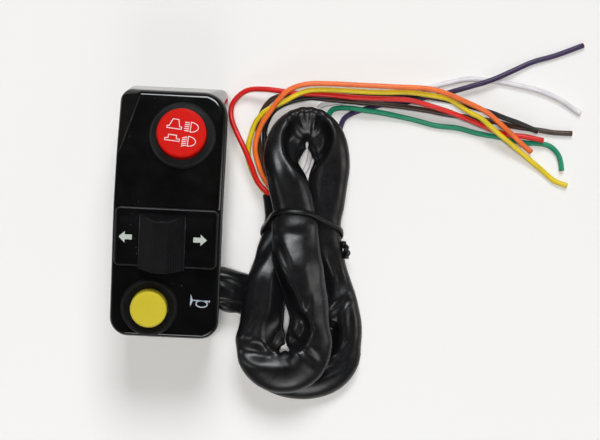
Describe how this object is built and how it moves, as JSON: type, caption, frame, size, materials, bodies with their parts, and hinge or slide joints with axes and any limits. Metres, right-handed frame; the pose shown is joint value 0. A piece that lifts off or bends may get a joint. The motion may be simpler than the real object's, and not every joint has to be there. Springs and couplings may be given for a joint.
{
  "type": "handlebar switch cluster",
  "caption": "Clamp-on handlebar switch housing with a red headlight button, a sliding turn signal knob, a yellow horn button and a tied sleeve of colour-coded leads.",
  "frame": {"origin": "on the handlebar's axis, at the middle of the housing's width", "axes": "X along the handlebar, Y up the housing's face towards the headlight button, Z out of the face"},
  "size_m": [0.1558, 0.1263, 0.052],
  "materials": {
    "housing_plastic": "glossy black moulded ABS",
    "clamp_plastic": "black moulded ABS, lightly polished",
    "matt_black": "matt black moulded plastic",
    "plate_plastic": "satin black moulded plastic",
    "knob_plastic": "satin black-grey moulded plastic",
    "red_plastic": "glossy red moulded plastic",
    "yellow_plastic": "glossy amber-yellow moulded plastic",
    "switch_plastic": "black moulded nylon",
    "slider_plastic": "natural acetal",
    "phenolic": "brown phenolic board",
    "brass": "plain brass",
    "spring_steel": "bright spring steel",
    "screw_steel": "zinc-plated steel",
    "vinyl": "glossy black soft vinyl",
    "tie_plastic": "dark plastic-covered wire tie",
    "nylon": "natural nylon",
    "lead_grey": "vinyl insulation",
    "lead_red": "red vinyl insulation",
    "lead_orange": "orange vinyl insulation",
    "lead_yellow": "yellow vinyl insulation",
    "lead_brown": "dark brown vinyl insulation",
    "lead_black": "black vinyl insulation",
    "lead_white": "white vinyl insulation",
    "lead_green": "green vinyl insulation",
    "lead_violet": "dark violet vinyl insulation"
  },
  "bodies": {
    "housing": {"front_housing": "housing_plastic", "rear_clamp": "clamp_plastic", "clamp_screws": "screw_steel", "threaded_inserts": "brass", "headlight_collar": "matt_black", "headlight_spring": "spring_steel", "headlight_switch_body": "switch_plastic", "headlight_base": "phenolic", "headlight_terminals": "brass", "turn_plate": "plate_plastic", "turn_detent_spring": "spring_steel", "turn_contact_board": "phenolic", "turn_contacts": "brass", "board_screws": "screw_steel", "horn_collar": "matt_black", "horn_spring": "spring_steel", "horn_switch_body": "switch_plastic", "horn_base": "phenolic", "horn_terminals": "brass", "inner_leads": "lead_grey", "inner_tie": "nylon", "sleeve_lead": "vinyl", "sleeve_hank": "vinyl", "hank_tie": "tie_plastic", "lead_red": "lead_red", "lead_orange": "lead_orange", "lead_yellow": "lead_yellow", "lead_brown": "lead_brown", "lead_black": "lead_black", "lead_white": "lead_white", "lead_green": "lead_green", "lead_violet": "lead_violet"},
    "headlight_button": {"headlight_button": "red_plastic", "headlight_contact": "brass"},
    "turn_switch": {"turn_knob": "knob_plastic", "turn_slider": "slider_plastic", "turn_wiper": "brass"},
    "horn_button": {"horn_button": "yellow_plastic", "horn_contact": "brass"}
  },
  "joints": [
    {"name": "headlight_press", "type": "slide", "parent": "housing", "child": "headlight_button", "axis": [0, -0.1392, -0.9903], "range_m": [0, 0.003], "stiffness_N_per_m": 700, "springref_m": -0.003, "deforming": ["headlight_spring"]},
    {"name": "turn_slide", "type": "slide", "parent": "housing", "child": "turn_switch", "axis": [1, 0, 0], "range_m": [-0.004, 0.004], "deforming": ["turn_detent_spring"]},
    {"name": "horn_press", "type": "slide", "parent": "housing", "child": "horn_button", "axis": [0, 0.1478, -0.989], "range_m": [0, 0.0025], "stiffness_N_per_m": 700, "springref_m": -0.003, "deforming": ["horn_spring"]}
  ]
}
